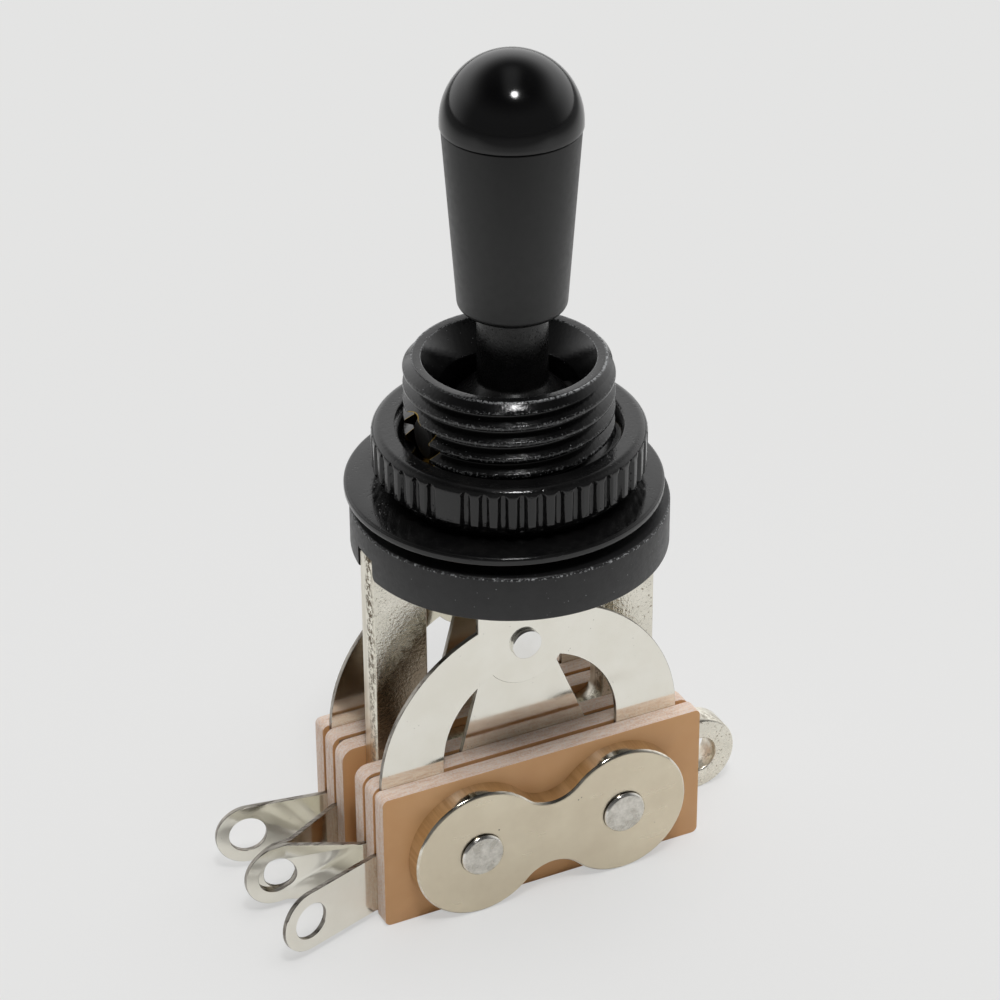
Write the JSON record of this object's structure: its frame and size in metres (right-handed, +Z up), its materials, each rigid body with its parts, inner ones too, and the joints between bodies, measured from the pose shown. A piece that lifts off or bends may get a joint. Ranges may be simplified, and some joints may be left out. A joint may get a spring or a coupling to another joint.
{
  "type": "toggle switch",
  "caption": "Panel toggle switch with a three-position lever, a threaded round bushing, a toothed ring nut and an open stack of leaf contacts with solder lugs.",
  "frame": {"origin": "on the bushing's axis at the top face of its flange, where the panel seats", "axes": "+Z up along the upright lever, +X along the insulating plates towards the ground lug, -Y the front"},
  "size_m": [0.0322, 0.0183, 0.0511],
  "materials": {
    "black_metal": "gloss black plating over brass, worn at the edges",
    "lever_metal": "black plating, polished",
    "cap_plastic": "moulded black, satin sides and glossy dome",
    "toe_plastic": "turned nylon",
    "pin_steel": "plain steel",
    "frame_metal": "tin plate over pitted, sheared steel",
    "leaf_metal": "bright rolled spring sheet",
    "contact_metal": "silver",
    "clamp_metal": "nickel plate, fine brushing",
    "rivet_metal": "nickel plate, pressed heads",
    "laminate": "resin-bonded paper laminate, smooth faces and fibrous edges",
    "sleeve_plastic": "insulating tube"
  },
  "bodies": {
    "base": {"bushing": "black_metal", "frame": "frame_metal", "left_rivet": "rivet_metal", "right_rivet": "rivet_metal", "left_sleeve": "sleeve_plastic", "right_sleeve": "sleeve_plastic", "front_inner_insulator": "laminate", "front_middle_insulator": "laminate", "front_outer_insulator": "laminate", "front_outer_leaf": "leaf_metal", "front_inner_leaf": "leaf_metal", "front_inner_contact": "contact_metal", "front_clamp_plate": "clamp_metal", "rear_inner_insulator": "laminate", "rear_middle_insulator": "laminate", "rear_outer_insulator": "laminate", "rear_outer_leaf": "leaf_metal", "rear_inner_leaf": "leaf_metal", "rear_inner_contact": "contact_metal", "rear_clamp_plate": "clamp_metal"},
    "pivot": {"pivot_pin": "pin_steel"},
    "lever": {"lever": "lever_metal", "tip_cap": "cap_plastic", "lever_toe": "toe_plastic"},
    "front_contact": {"front_outer_contact": "contact_metal"},
    "rear_contact": {"rear_outer_contact": "contact_metal"},
    "washer": {"washer": "black_metal"},
    "nut": {"ring_nut": "black_metal"}
  },
  "joints": [
    {"name": "lever_forward", "type": "hinge", "parent": "base", "child": "pivot", "pos_m": [0, 0, 0.005], "axis": [1, 0, 0], "range_deg": [0, 12]},
    {"name": "lever_backward", "type": "hinge", "parent": "pivot", "child": "lever", "pos_m": [0, 0, 0.005], "axis": [1, 0, 0], "range_deg": [-12, 0]},
    {"name": "rear_contact_open", "type": "hinge", "parent": "base", "child": "rear_contact", "pos_m": [0, 0.0035, -0.0151], "axis": [1, 0, 0], "range_deg": [-10, 0], "deforming": ["rear_outer_leaf"]},
    {"name": "front_contact_open", "type": "hinge", "parent": "base", "child": "front_contact", "pos_m": [0, -0.0035, -0.0151], "axis": [1, 0, 0], "range_deg": [0, 10], "deforming": ["front_outer_leaf"]},
    {"name": "nut_travel", "type": "slide", "parent": "base", "child": "washer", "axis": [0, 0, 1], "range_m": [-0.0008, 0.0045]},
    {"name": "nut_turn", "type": "hinge", "parent": "washer", "child": "nut", "pos_m": [0, 0, 0.003], "axis": [0, 0, 1], "range_deg": [-290, 1625]}
  ],
  "couplings": [
    {"joint": "rear_contact_open", "follows": "lever_forward", "ratio": -0.8},
    {"joint": "front_contact_open", "follows": "lever_backward", "ratio": -0.8},
    {"joint": "nut_turn", "follows": "nut_travel", "rad_per_m": 6283.2}
  ]
}
